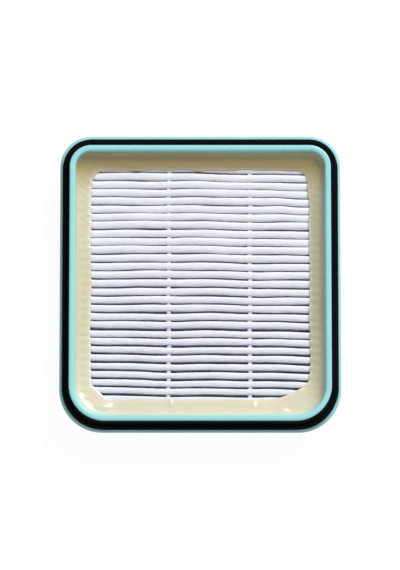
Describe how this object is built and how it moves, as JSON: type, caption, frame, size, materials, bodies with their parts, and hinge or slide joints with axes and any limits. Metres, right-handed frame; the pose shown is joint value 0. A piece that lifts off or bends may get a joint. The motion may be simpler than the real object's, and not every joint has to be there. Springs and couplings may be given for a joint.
{
  "type": "hepa filter panel",
  "caption": "Rounded-square moulded frame with a rubber seal round its rim, holding a pleated filter sheet potted in sealant with glue spacer beads.",
  "frame": {"origin": "plan centre of the flange, on the surface that the outlet face lies on", "axes": "+X along the pleats, +Y across them towards the two tighter corners, +Z towards the inlet face"},
  "size_m": [0.118, 0.1258, 0.026],
  "materials": {
    "frame_plastic": "mint green moulded plastic, satin gloss",
    "seal_rubber": "black rubber, matt",
    "filter_sheet": "white nonwoven filter sheet, soft and fibrous",
    "cast_sealant": "cream poured sealant, glossy skin",
    "bead_glue": "clouded white hot-melt glue"
  },
  "bodies": {
    "root": {"frame": "frame_plastic", "rubber_seal": "seal_rubber", "pleated_sheet": "filter_sheet", "sealant": "cast_sealant", "inlet_bead_left": "bead_glue", "inlet_bead_right": "bead_glue", "outlet_bead_left": "bead_glue", "outlet_bead_right": "bead_glue"}
  },
  "joints": []
}
